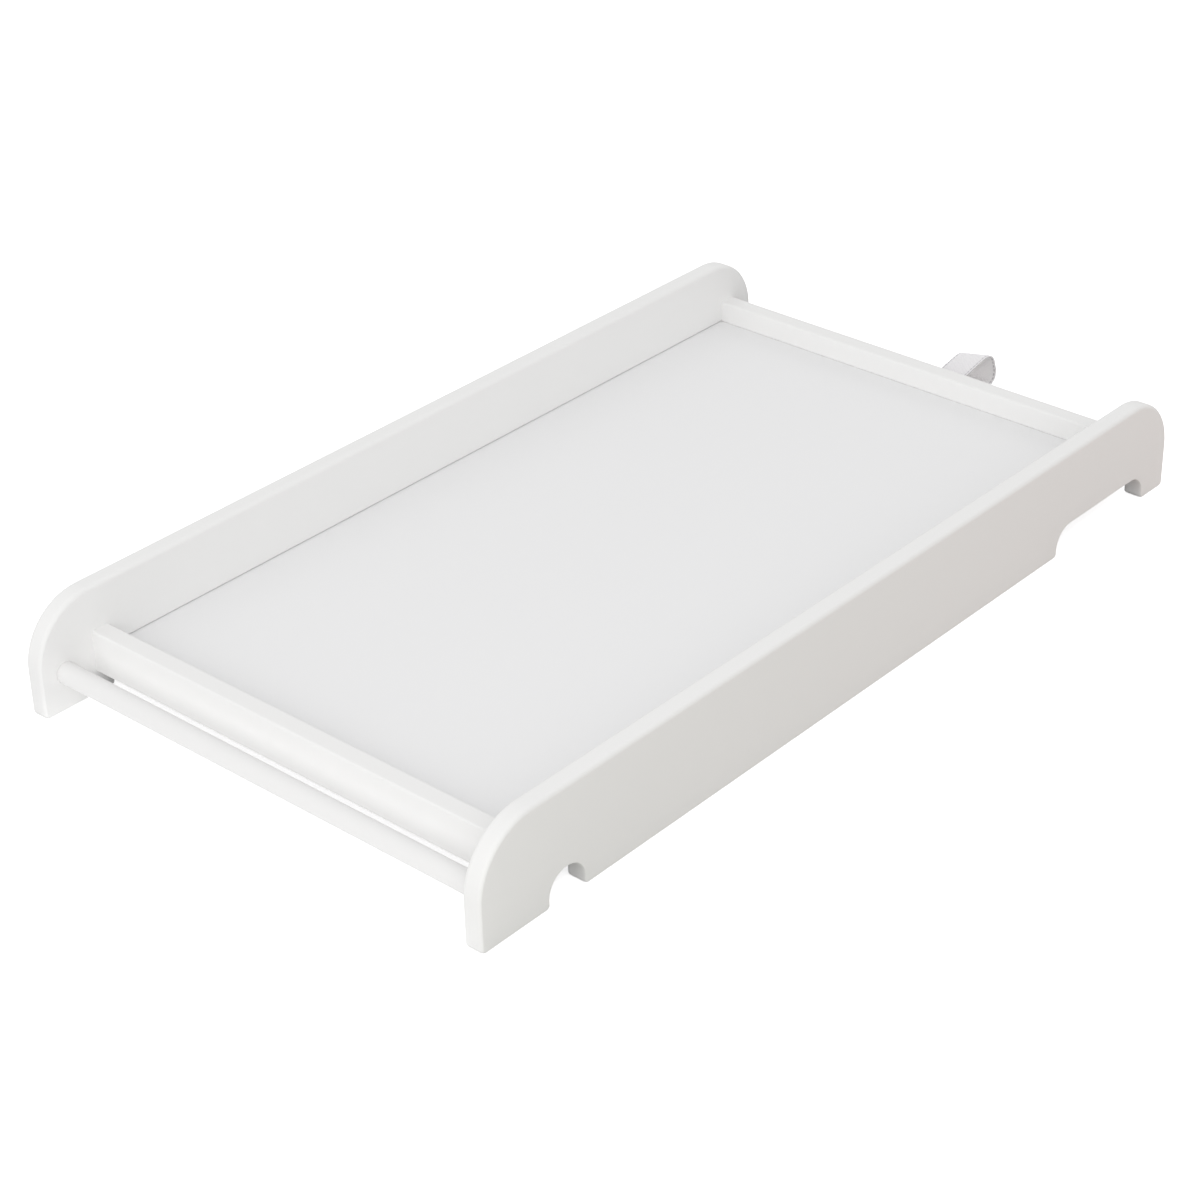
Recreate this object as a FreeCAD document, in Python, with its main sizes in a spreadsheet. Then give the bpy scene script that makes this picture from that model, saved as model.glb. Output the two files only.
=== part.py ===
"""A cot top changer: a shallow tray that lies across the two long rails of a cot.

Two notched side panels carry two cross rails, a thin base held in grooves all round, a towel rail
and a webbing safety strap. Millimetres; +X runs from the towel end to the strap end, +Y from the
right panel to the left one, +Z up. The origin is on the standing plane, at the middle of the panels.
"""
import FreeCAD, Part
import math
import os
import re
import Sketcher

SIZES = [
    # The whole tray, over its side panels
    ("length", 875),
    ("width", 480),
    ("height", 95),
    ("board", 17),
    # Side panels: upper corners, feet and the rounding of every edge
    ("corner_radius", 55),
    ("foot_round", 5),
    ("edge_round", 4),
    # Half-round notch that drops over one cot rail
    ("notch_start", 70),
    ("notch_width", 37),
    ("notch_height", 26),
    # Long notch that takes the other cot rail, whatever the cot's width
    ("foot_length", 35.5),
    ("slot_length", 132),
    ("slot_height", 24.5),
    ("slot_radius", 18.5),
    # Cross rails
    ("towel_rail_end", 53),
    ("strap_rail_end", 26.5),
    ("rail_bottom", 19.5),
    ("rail_height", 37),
    ("rail_round", 3),
    # Base panel and the grooves that hold it
    ("base_top", 36.5),
    ("base_thickness", 6),
    ("groove_depth", 5),
    ("groove_gap", 0.8),
    ("base_play", 0.5),
    # Glued joint dowels
    ("dowel_diameter", 6),
    ("dowel_length", 30),
    ("dowel_chamfer", 0.8),
    ("dowel_in_panel", 11),
    ("dowel_end_space", 1),
    ("dowel_lower", 5.5),
    ("dowel_upper", 27.5),
    # Towel rail, dry in blind sockets
    ("towel_diameter", 18),
    ("towel_chamfer", 1),
    ("towel_from_end", 24),
    ("towel_height", 33),
    ("socket_depth", 9),
    ("socket_clearance", 0.1),
    ("towel_play", 0.5),
    # Safety strap: one length of webbing folded into a loop
    ("strap_width", 28),
    ("strap_thickness", 1.6),
    ("strap_reach", 93),
    ("strap_bend", 15.3),
    ("strap_lead", 40),
    ("strap_flat", 18),
    ("strap_tab", 8),
    ("strap_lift", 0.5),
    ("strap_gap", 0.2),
    # Screw and washer that hold both ends of the strap
    ("screw_diameter", 4),
    ("screw_bite", 18),
    ("screw_tip", 4),
    ("screw_clearance", 0.1),
    ("head_diameter", 8.5),
    ("head_height", 3),
    ("head_crown", 6),
    ("washer_diameter", 14),
    ("washer_thickness", 1.2),
    ("eye_clearance", 0.3),
    # Cuts that start outside the wood run on by this much
    ("overrun", 2),
]

doc = FreeCAD.newDocument("CotTopChanger")
sheet = doc.addObject("Spreadsheet::Sheet", "Sizes")
for row, (alias, number) in enumerate(SIZES, 1):
    sheet.set(f"A{row}", alias)
    sheet.set(f"B{row}", str(number))
    sheet.setAlias(f"B{row}", alias)
doc.recompute()

# Two places nearer to each other than this are one
SAME_PLACE = 0.001
# Sides of a joint dowel and of the blind hole that it is glued into
DOWEL_SIDES = 8

ALIASES = re.compile(r"\b(" + "|".join(alias for alias, number in SIZES) + r")\b")

# Heights and lengths that several pieces share, in terms of the sheet's sizes
INNER_WIDTH = "(width - 2 * board)"
TOWEL_RAIL_MIDDLE = "(towel_rail_end + board / 2 - length / 2)"
STRAP_RAIL_MIDDLE = "(length / 2 - strap_rail_end - board / 2)"
RAIL_INNER_TOWEL = f"({TOWEL_RAIL_MIDDLE} + board / 2)"
RAIL_INNER_STRAP = f"({STRAP_RAIL_MIDDLE} - board / 2)"
BASE_BOTTOM = "(base_top - base_thickness)"
GROOVE_TOP = "(base_top + groove_gap)"
PLY = "(strap_thickness + strap_gap)"
UPPER_PLY = "(rail_bottom - strap_gap - strap_thickness / 2)"
LOWER_PLY = f"({UPPER_PLY} - {PLY})"
STRAP_UNDERSIDE = f"({LOWER_PLY} - strap_thickness / 2)"

sub_parts = []


def value(formula):
    """The number that a formula of sheet sizes gives."""
    return sheet.evalExpression(formula)


def bind(target, path, formula):
    """Tie one property of an object to a formula of sheet sizes."""
    target.setExpression(path, ALIASES.sub(r"Sizes.\1", formula))


def new_body(label, **place):
    """A body for one sub-part, with its place given by formulas for x, y and z."""
    body = doc.addObject("PartDesign::Body", label)
    body.Label = label
    for axis, formula in place.items():
        bind(body, f"Placement.Base.{axis}", formula)
    sub_parts.append(body)
    return body


def origin_plane(body, role):
    """One of a body's own origin planes."""
    return next(item for item in body.Origin.OriginFeatures if item.Role == role)


def new_sketch(body, name, role="XZ_Plane", offset=None):
    """A sketch on an origin plane, moved along its normal by a formula where one is given."""
    sketch = body.newObject("Sketcher::SketchObject", name)
    sketch.AttachmentSupport = [(origin_plane(body, role), "")]
    sketch.MapMode = "FlatFace"
    if offset:
        bind(sketch, "AttachmentOffset.Base.z", offset)
    return sketch


def constrain(sketch, formula, *constraint):
    """Add a constraint whose size is a formula."""
    index = sketch.addConstraint(Sketcher.Constraint(*constraint, value(formula)))
    bind(sketch, f"Constraints[{index}]", formula)


def pin(sketch, geometry, point, across, up):
    """Fix a point of the sketch by formulas for its two coordinates."""
    constrain(sketch, across, "DistanceX", geometry, point)
    constrain(sketch, up, "DistanceY", geometry, point)


def polygon(sketch, corners):
    """A closed outline of straight lines; each corner is a pair of formulas."""
    points = [FreeCAD.Vector(value(across), value(up), 0) for across, up in corners]
    first = sketch.GeometryCount
    count = len(points)
    for index in range(count):
        sketch.addGeometry(Part.LineSegment(points[index], points[(index + 1) % count]), False)
    for index in range(count):
        following = first + (index + 1) % count
        sketch.addConstraint(Sketcher.Constraint("Coincident", first + index, 2, following, 1))
    for index, (across, up) in enumerate(corners):
        pin(sketch, first + index, 1, across, up)


def rectangle(sketch, left, right, low, high):
    """An upright rectangle between four formulas."""
    polygon(sketch, [(left, low), (right, low), (right, high), (left, high)])


def circle(sketch, across, up, radius):
    """A circle whose centre and radius are formulas."""
    centre = FreeCAD.Vector(value(across), value(up), 0)
    normal = FreeCAD.Vector(0, 0, 1)
    index = sketch.addGeometry(Part.Circle(centre, normal, value(radius)), False)
    pin(sketch, index, 3, across, up)
    constrain(sketch, radius, "Radius", index)


def dowel_section(sketch, across="0", up="0"):
    """The many-sided section that a joint dowel and its hole share, about a centre given by formulas."""
    turns = [2 * math.pi * side / DOWEL_SIDES for side in range(DOWEL_SIDES)]
    polygon(sketch, [(f"{across} + {math.cos(turn):.9f} * dowel_diameter / 2",
                      f"{up} + {math.sin(turn):.9f} * dowel_diameter / 2") for turn in turns])


def arch(sketch, left, right, low, high):
    """An upright slot with a half-round top, between four formulas."""
    half = f"(({right}) - ({left})) / 2"
    spring = f"({high}) - {half}"
    middle = FreeCAD.Vector(value(left) + value(half), value(spring), 0)
    corners = [(left, spring), (left, low), (right, low), (right, spring)]
    points = [FreeCAD.Vector(value(across), value(up), 0) for across, up in corners]
    for start, end in zip(points, points[1:]):
        sketch.addGeometry(Part.LineSegment(start, end), False)
    full = Part.Circle(middle, FreeCAD.Vector(0, 0, 1), value(half))
    sketch.addGeometry(Part.ArcOfCircle(full, 0, math.pi), False)
    left_wall, sill, right_wall, crown = range(4)
    sketch.addConstraint(Sketcher.Constraint("Coincident", left_wall, 2, sill, 1))
    sketch.addConstraint(Sketcher.Constraint("Coincident", sill, 2, right_wall, 1))
    sketch.addConstraint(Sketcher.Constraint("Tangent", right_wall, 2, crown, 1))
    sketch.addConstraint(Sketcher.Constraint("Coincident", crown, 2, left_wall, 1))
    sketch.addConstraint(Sketcher.Constraint("Vertical", left_wall))
    pin(sketch, sill, 1, left, low)
    pin(sketch, sill, 2, right, low)
    constrain(sketch, spring, "DistanceY", crown, 3)
    sketch.addConstraint(Sketcher.Constraint("Vertical", right_wall))


def pad(body, name, sketch, length, **settings):
    """Extrude a sketch by a formula."""
    feature = body.newObject("PartDesign::Pad", name)
    feature.Profile = sketch
    bind(feature, "Length", length)
    for setting, choice in settings.items():
        setattr(feature, setting, choice)
    doc.recompute()
    return feature


def pocket(body, name, sketch, depth=None, **settings):
    """Cut a sketch into the body, by a formula or, without one, right through both ways."""
    before = body.Tip.Shape.Volume
    feature = body.newObject("PartDesign::Pocket", name)
    feature.Profile = sketch
    if depth:
        bind(feature, "Length", depth)
    else:
        feature.Type = "ThroughAll"
        feature.Midplane = True
    for setting, choice in settings.items():
        setattr(feature, setting, choice)
    doc.recompute()
    if feature.Shape.isNull() or feature.Shape.Volume >= before:
        raise RuntimeError(f"{body.Label}: {name} cuts nothing")
    return feature


def round_edges(body, name, radius, chosen, kind="PartDesign::Fillet", size="Radius"):
    """Round, or chamfer, the edges of the body's last feature that a test picks."""
    base = body.Tip
    edges = [f"Edge{index}" for index, edge in enumerate(base.Shape.Edges, 1) if chosen(edge)]
    feature = body.newObject(kind, name)
    feature.Base = (base, edges)
    bind(feature, size, radius)
    doc.recompute()
    return feature


def mirrored(body, name, features, role):
    """Repeat features on the other side of an origin plane."""
    feature = body.newObject("PartDesign::Mirrored", name)
    feature.Originals = features
    feature.MirrorPlane = (origin_plane(body, role), [""])
    body.Tip = feature
    doc.recompute()
    return feature


def along(edge, axis):
    """Whether an edge is straight and runs along one axis: 0, 1 or 2."""
    if edge.Curve.TypeId != "Part::GeomLine":
        return False
    return abs(abs(edge.Curve.Direction[axis]) - 1) < Part.Precision.angular()


def near(number, wanted):
    """Whether two lengths agree within the modelling tolerance."""
    return abs(number - wanted) < SAME_PLACE


def side_panel(label, left):
    """A notched board, sketched on its inner face, with its groove and blind holes cut from there."""
    inner_face = f"{'' if left else '-'}{INNER_WIDTH} / 2"
    body = new_body(label, y=inner_face)
    outward = {"Reversed": left}
    inward = {"Reversed": not left}

    board = new_sketch(body, "BoardOutline")
    rectangle(board, "-length / 2", "length / 2", "0", "height")
    pad(body, "Board", board, "board", **outward)
    top = value("height")
    round_edges(body, "UpperCorners", "corner_radius",
                lambda edge: along(edge, 1) and near(edge.CenterOfMass.z, top))

    notch = new_sketch(body, "NotchOutline")
    arch(notch, "notch_start - length / 2", "notch_start + notch_width - length / 2",
         "-overrun", "notch_height")
    pocket(body, "HalfRoundNotch", notch)
    slot = new_sketch(body, "SlotOutline")
    rectangle(slot, "length / 2 - foot_length - slot_length", "length / 2 - foot_length",
              "-overrun", "slot_height")
    pocket(body, "LongNotch", slot)
    slot_top = value("slot_height")
    round_edges(body, "LongNotchCorners", "slot_radius",
                lambda edge: along(edge, 1) and near(edge.CenterOfMass.z, slot_top))
    round_edges(body, "Feet", "foot_round",
                lambda edge: along(edge, 1) and near(edge.CenterOfMass.z, 0))
    round_edges(body, "PencilRound", "edge_round",
                lambda edge: near(edge.BoundBox.YLength, 0))

    groove = new_sketch(body, "GrooveOutline")
    rectangle(groove, f"{RAIL_INNER_TOWEL} - groove_depth", f"{RAIL_INNER_STRAP} + groove_depth",
              BASE_BOTTOM, GROOVE_TOP)
    pocket(body, "BaseGroove", groove, "groove_depth", **inward)
    holes = new_sketch(body, "DowelHoleCentres")
    for rail_middle in (TOWEL_RAIL_MIDDLE, STRAP_RAIL_MIDDLE):
        for height in ("dowel_lower", "dowel_upper"):
            dowel_section(holes, rail_middle, f"rail_bottom + {height}")
    pocket(body, "DowelHoles", holes, "dowel_in_panel + dowel_end_space / 2", **inward)
    socket = new_sketch(body, "SocketOutline")
    circle(socket, "towel_from_end - length / 2", "towel_height",
           "towel_diameter / 2 + socket_clearance")
    pocket(body, "TowelSocket", socket, "socket_depth", **inward)
    return body


def cross_rail(label, middle, base_side):
    """A bar between the panels, grooved for the base on one side and drilled in both ends."""
    body = new_body(label, x=middle, z="rail_bottom")
    bar = new_sketch(body, "BarOutline")
    rectangle(bar, "-board / 2", "board / 2", "0", "rail_height")
    pad(body, "Bar", bar, INNER_WIDTH, Midplane=True)
    round_edges(body, "LongEdges", "rail_round", lambda edge: along(edge, 1))

    groove = new_sketch(body, "GrooveOutline")
    walls = [f"{base_side} * (board / 2 - groove_depth)", f"{base_side} * (board / 2 + overrun)"]
    rectangle(groove, *sorted(walls, key=value), f"{BASE_BOTTOM} - rail_bottom",
              f"{GROOVE_TOP} - rail_bottom")
    pocket(body, "BaseGroove", groove)
    holes = new_sketch(body, "DowelHoleCentres", offset=f"{INNER_WIDTH} / 2")
    for height in ("dowel_lower", "dowel_upper"):
        dowel_section(holes, up=height)
    drilled = pocket(body, "DowelHoles", holes,
                     "dowel_length - dowel_in_panel + dowel_end_space / 2")
    mirrored(body, "OtherEndHoles", [drilled], "XZ_Plane")
    return body


def base_panel():
    """The thin tray floor, whose four edges stand in the grooves."""
    body = new_body("base_panel", z=BASE_BOTTOM)
    floor = new_sketch(body, "FloorOutline", "XY_Plane")
    into_groove = "(groove_depth - base_play)"
    half_width = f"({INNER_WIDTH} / 2 + {into_groove})"
    rectangle(floor, f"{RAIL_INNER_TOWEL} - {into_groove}", f"{RAIL_INNER_STRAP} + {into_groove}",
              f"-{half_width}", half_width)
    pad(body, "Floor", floor, "base_thickness")
    return body


def chamfered_bar(label, outline, length, chamfer, **place):
    """A bar along Y whose section a function draws, with both ends chamfered."""
    body = new_body(label, **place)
    section = new_sketch(body, "Section")
    outline(section)
    pad(body, "Bar", section, length, Midplane=True)
    round_edges(body, "Ends", chamfer, lambda edge: near(edge.BoundBox.YLength, 0),
                "PartDesign::Chamfer", "Size")
    return body


def joint_dowels():
    """The eight glued dowels, two across each joint between a rail and a panel."""
    joint_offset = "(dowel_length / 2 - dowel_in_panel)"
    for end, middle in (("towel", TOWEL_RAIL_MIDDLE), ("strap", STRAP_RAIL_MIDDLE)):
        for side, sign in (("left", ""), ("right", "-")):
            for level in ("upper", "lower"):
                chamfered_bar(f"{end}_{side}_{level}_dowel", dowel_section, "dowel_length",
                              "dowel_chamfer", x=middle,
                              y=f"{sign}({INNER_WIDTH} / 2 - {joint_offset})",
                              z=f"rail_bottom + dowel_{level}")


def towel_rail():
    """The round rail for towels, trapped between the two blind sockets."""
    def section(sketch):
        circle(sketch, "0", "0", "towel_diameter / 2")

    return chamfered_bar("towel_rail", section, f"{INNER_WIDTH} + 2 * (socket_depth - towel_play)",
                         "towel_chamfer", x="towel_from_end - length / 2", z="towel_height")


def common_tangent(start_centre, start_radius, end_centre, end_radius, turn):
    """The straight run from one round to another that turns the opposite way.

    turn is 1 where the first round turns left and -1 where it turns right. The result is the
    run's two ends and its heading.
    """
    between = end_centre - start_centre
    heading = math.atan2(between.y, between.x)
    heading += turn * math.asin((start_radius + end_radius) / between.Length)
    left = FreeCAD.Vector(-math.sin(heading), math.cos(heading), 0)
    return start_centre - left * (turn * start_radius), end_centre + left * (turn * end_radius), heading


def strap_path(sketch):
    """The middle line of the webbing: out along one ply, round the loop and back along the other."""
    upper, lower = value(UPPER_PLY), value(LOWER_PLY)
    tab, flat = -value("strap_tab"), value("strap_flat")
    lead, bend = value("strap_lead"), value("strap_bend")
    bend_across = "board / 2 + strap_reach - strap_thickness / 2 - strap_bend"
    bend_up = "strap_lift + strap_thickness / 2 + strap_bend"
    upper_lead = FreeCAD.Vector(flat, upper + lead, 0)
    lower_lead = FreeCAD.Vector(flat, lower - lead, 0)
    loop = FreeCAD.Vector(value(bend_across), value(bend_up), 0)
    rise_start, rise_end, rise = common_tangent(upper_lead, lead, loop, bend, 1)
    fall_start, fall_end, fall = common_tangent(loop, bend, lower_lead, lead, -1)

    def line(start, end):
        return sketch.addGeometry(Part.LineSegment(start, end), False)

    def arc(centre, radius, first, last):
        full = Part.Circle(centre, FreeCAD.Vector(0, 0, 1), radius)
        return sketch.addGeometry(Part.ArcOfCircle(full, first, last), False)

    quarter = math.pi / 2
    whole = 2 * math.pi
    line(FreeCAD.Vector(tab, upper, 0), FreeCAD.Vector(flat, upper, 0))
    arc(upper_lead, lead, -quarter, rise - quarter)
    line(rise_start, rise_end)
    arc(loop, bend, fall + quarter - whole, rise + quarter)
    line(fall_start, fall_end)
    arc(lower_lead, lead, fall - quarter, quarter)
    line(FreeCAD.Vector(flat, lower, 0), FreeCAD.Vector(tab, lower, 0))

    joins = [(0, 2, 1, 1), (1, 2, 2, 1), (2, 2, 3, 2), (3, 1, 4, 1), (4, 2, 5, 1), (5, 2, 6, 1)]
    for join in joins:
        sketch.addConstraint(Sketcher.Constraint("Tangent", *join))
    for geometry in (0, 6):
        sketch.addConstraint(Sketcher.Constraint("Horizontal", geometry))
    pin(sketch, 0, 1, "-strap_tab", UPPER_PLY)
    pin(sketch, 6, 2, "-strap_tab", LOWER_PLY)
    constrain(sketch, "strap_flat", "DistanceX", 0, 2)
    constrain(sketch, "strap_flat", "DistanceX", 6, 1)
    constrain(sketch, "strap_lead", "Radius", 1)
    constrain(sketch, "strap_lead", "Radius", 5)
    constrain(sketch, "strap_bend", "Radius", 3)
    pin(sketch, 3, 3, bend_across, bend_up)


def safety_strap():
    """The webbing loop, its two plies under the rail pierced by one eye for the screw."""
    body = new_body("safety_strap", x=STRAP_RAIL_MIDDLE)
    path = new_sketch(body, "MiddleLine")
    strap_path(path)
    section = new_sketch(body, "WebbingSection", "YZ_Plane", "-strap_tab")
    rectangle(section, "-strap_width / 2", "strap_width / 2",
              f"{UPPER_PLY} - strap_thickness / 2", f"{UPPER_PLY} + strap_thickness / 2")
    webbing = body.newObject("PartDesign::AdditivePipe", "Webbing")
    webbing.Profile = section
    webbing.Spine = path
    doc.recompute()
    eye = new_sketch(body, "EyeOutline", "XY_Plane", STRAP_UNDERSIDE)
    circle(eye, "0", "0", "screw_diameter / 2 + eye_clearance")
    pocket(body, "Eye", eye, f"2 * {PLY}", Reversed=True)
    return body


def strap_fixing():
    """The screw that goes up into the strap-end rail, and the washer under its head."""
    washer_low = f"({STRAP_UNDERSIDE} - strap_gap - washer_thickness)"
    washer = new_body("strap_washer", x=STRAP_RAIL_MIDDLE, z=washer_low)
    ring = new_sketch(washer, "Ring", "XY_Plane")
    circle(ring, "0", "0", "washer_diameter / 2")
    circle(ring, "0", "0", "screw_diameter / 2 + eye_clearance")
    pad(washer, "Disc", ring, "washer_thickness")

    screw = new_body("strap_screw", x=STRAP_RAIL_MIDDLE, z=washer_low)
    profile = new_sketch(screw, "HalfProfile")
    shank = "screw_diameter / 2"
    bite = f"(rail_bottom - {washer_low} + screw_bite)"
    polygon(profile, [("0", "-head_height"), ("head_crown / 2", "-head_height"),
                      ("head_diameter / 2", "0"), (shank, "0"), (shank, f"{bite} - screw_tip"),
                      ("0", bite)])
    turned = screw.newObject("PartDesign::Revolution", "Turned")
    turned.Profile = profile
    turned.ReferenceAxis = (profile, ["V_Axis"])
    doc.recompute()


def pilot_hole(rail):
    """The hole up into the strap-end rail that the strap's screw turns into."""
    hole = new_sketch(rail, "PilotHole", "XY_Plane")
    circle(hole, "0", "0", "screw_diameter / 2 + screw_clearance")
    pocket(rail, "Pilot", hole, "screw_bite + overrun", Reversed=True)


def write_parts():
    """Check every object and write one file for each sub-part."""
    doc.recompute()
    failed = [item.Label for item in doc.Objects if {"Invalid", "Error"} & set(item.State)]
    failed += [body.Label for body in sub_parts if body.Shape.isNull() or not body.Shape.isValid()]
    if failed:
        raise RuntimeError(f"failed: {failed}")
    os.makedirs("parts", exist_ok=True)
    for body in sub_parts:
        body.Shape.exportStep(f"parts/{body.Label}.step")


side_panel("left_side_panel", left=True)
side_panel("right_side_panel", left=False)
cross_rail("towel_end_rail", TOWEL_RAIL_MIDDLE, base_side=1)
pilot_hole(cross_rail("strap_end_rail", STRAP_RAIL_MIDDLE, base_side=-1))
base_panel()
towel_rail()
joint_dowels()
safety_strap()
strap_fixing()
write_parts()
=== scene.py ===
"""Looks of a cot top changer: painted boards, a turned towel rail and a woven safety strap.

Everything is in metres, in the frame's own axes: +X runs from the towel end to the strap end, +Y from
the right panel to the left one, and +Z up from the plane that the panels stand on.
"""
import logging
import math
from dataclasses import dataclass
from enum import Enum
from typing import Callable, Sequence, Union

import bmesh
import bpy
from bpy.types import Material, Object
from mathutils import Matrix, Vector


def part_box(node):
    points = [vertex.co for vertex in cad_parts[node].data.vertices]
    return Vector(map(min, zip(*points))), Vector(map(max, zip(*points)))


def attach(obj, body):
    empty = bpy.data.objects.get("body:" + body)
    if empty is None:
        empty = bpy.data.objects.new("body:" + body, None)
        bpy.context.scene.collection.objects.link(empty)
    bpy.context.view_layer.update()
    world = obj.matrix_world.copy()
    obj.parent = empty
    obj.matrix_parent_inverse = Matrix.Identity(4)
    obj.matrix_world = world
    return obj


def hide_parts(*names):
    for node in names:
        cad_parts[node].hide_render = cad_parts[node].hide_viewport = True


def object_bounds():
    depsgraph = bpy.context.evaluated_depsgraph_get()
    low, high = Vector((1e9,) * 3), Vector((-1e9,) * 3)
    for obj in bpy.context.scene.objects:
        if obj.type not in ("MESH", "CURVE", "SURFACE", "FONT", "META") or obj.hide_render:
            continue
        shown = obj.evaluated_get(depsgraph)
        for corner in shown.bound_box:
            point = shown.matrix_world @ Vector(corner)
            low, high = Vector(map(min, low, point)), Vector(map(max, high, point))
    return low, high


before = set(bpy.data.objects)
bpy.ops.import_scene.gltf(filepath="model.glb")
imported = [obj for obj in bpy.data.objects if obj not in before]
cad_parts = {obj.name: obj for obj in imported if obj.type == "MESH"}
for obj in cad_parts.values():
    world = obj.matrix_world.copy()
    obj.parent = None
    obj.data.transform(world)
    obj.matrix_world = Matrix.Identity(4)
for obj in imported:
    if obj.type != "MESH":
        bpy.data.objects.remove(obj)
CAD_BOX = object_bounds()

MM = 0.001
# Points nearer to each other than this are one point
SAME_POINT = 1e-6
# Edges that turn by more than this stay crisp
CREASE = math.radians(28)
# Steps in a quarter round: this many for each square root of a millimetre of radius
ROUND_STEPS = 3.2
LEAST_STEPS = 3
# Numbers of a Mix node's colour sockets: three inputs and the output
MIX_SHARE, MIX_FIRST, MIX_SECOND, MIX_RESULT = 0, 6, 7, 2

log = logging.getLogger("cot_top_changer")

Point2 = tuple[float, float]
Point3 = tuple[float, float, float]
Colour = tuple[float, float, float]
Ring = list[bmesh.types.BMVert]
Given = Union["Value", float, int, bool, str, tuple, bpy.types.ID]


class Lie(Enum):
    """How the flat outlines of a draft lie in the part."""

    UPRIGHT = "outlines in X and Z, depth along Y"
    LEVEL = "outlines in X and Y, depth along Z"


class Grain(Enum):
    """The axis that a board's grain runs along, as the stretch of its pattern on X, Y and Z."""

    ALONG_X = (0.05, 1.0, 1.0)
    ALONG_Y = (1.0, 0.05, 1.0)


class Body(Enum):
    """The bodies of the frame that pieces ride on."""

    FRAME = "frame"
    TOWEL_BAR = "towel_bar"
    STRAP = "strap"


class Slot(Enum):
    """The material slots of the record."""

    PAINT = "white_paint"
    BOARD = "white_board"
    BEECH = "beech"
    WEBBING = "webbing"
    ZINC = "zinc"


def operator(operation: str, flipped: bool = False) -> Callable[["Value", Given], "Value"]:
    """A method for an operator between two values, which adds a Math node.

    Args:
        operation: What the node works out.
        flipped: Whether the other value comes first.
    Returns:
        The method.
    """
    def method(self: "Value", given: Given) -> "Value":
        """Add the node."""
        return self.maths(operation, *((given, self) if flipped else (self, given)))

    return method


class Value:
    """An output of a node in an expression: an operator adds a Math node to its tree."""

    def __init__(self, tree: "NodeTree", socket: bpy.types.NodeSocket) -> None:
        """Wrap an output of a node in that tree."""
        self.tree = tree
        self.socket = socket

    def other(self, output: str) -> "Value":
        """Another output of the same node."""
        return Value(self.tree, self.socket.node.outputs[output])

    def maths(self, operation: str, *given: Given) -> "Value":
        """Add a Math node whose inputs are the given values, or else this one."""
        inputs = dict(enumerate(given or (self,)))
        return self.tree.add("ShaderNodeMath", {"operation": operation}, inputs)

    def __abs__(self) -> "Value":
        """Size without the sign."""
        return self.maths("ABSOLUTE")

    __add__, __radd__ = operator("ADD"), operator("ADD", flipped=True)
    __sub__, __rsub__ = operator("SUBTRACT"), operator("SUBTRACT", flipped=True)
    __mul__, __rmul__ = operator("MULTIPLY"), operator("MULTIPLY", flipped=True)
    __truediv__ = operator("DIVIDE")
    __pow__ = operator("POWER")
    __gt__ = operator("GREATER_THAN")
    least = operator("MINIMUM")
    most = operator("MAXIMUM")


class NodeTree:
    """A node tree in the making, for a material, the world or a rule that makes geometry."""

    def __init__(self, tree: bpy.types.NodeTree) -> None:
        """Start from a tree, with whatever nodes it already has taken out."""
        self.tree = tree
        tree.nodes.clear()

    def add(self, kind: str, settings: dict[str, Given] | None = None,
            sockets: dict[str | int, Given] | None = None, out: str | int = 0) -> Value:
        """Add a node.

        Args:
            kind: The node's type.
            settings: Properties of the node, which are set first.
            sockets: Values or links for its inputs, by name or number.
            out: The output that is wanted.
        Returns:
            That output, ready for an expression.
        """
        node = self.tree.nodes.new(kind)
        for name, choice in (settings or {}).items():
            setattr(node, name, choice)
        for key, given in (sockets or {}).items():
            if isinstance(given, Value):
                self.tree.links.new(given.socket, node.inputs[key])
            else:
                node.inputs[key].default_value = given
        return Value(self, node.outputs[out]) if node.outputs else None

    def vector(self, operation: str, *given: Given) -> Value:
        """Add a Vector Math node whose inputs are the given vectors, in order."""
        return self.add("ShaderNodeVectorMath", {"operation": operation}, dict(enumerate(given)))

    def noise(self, place: Value, scale: float, detail: float = 2.0) -> Value:
        """Smooth random values of about 0 to 1 over a place."""
        return self.add("ShaderNodeTexNoise", None, {"Vector": place, "Scale": scale, "Detail": detail})

    def blend(self, share: Given, first: Value | Colour, second: Value | Colour) -> Value:
        """A colour between two, by a share of 0 to 1."""
        first, second = (tone if isinstance(tone, Value) else (*tone, 1.0) for tone in (first, second))
        return self.add("ShaderNodeMix", {"data_type": "RGBA"},
                        {MIX_SHARE: share, MIX_FIRST: first, MIX_SECOND: second}, MIX_RESULT)

    def split(self, vector: Value, axis: str = "X") -> Value:
        """One part of a vector, from which the other two can be had."""
        return self.add("ShaderNodeSeparateXYZ", None, {"Vector": vector}, axis)


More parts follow.
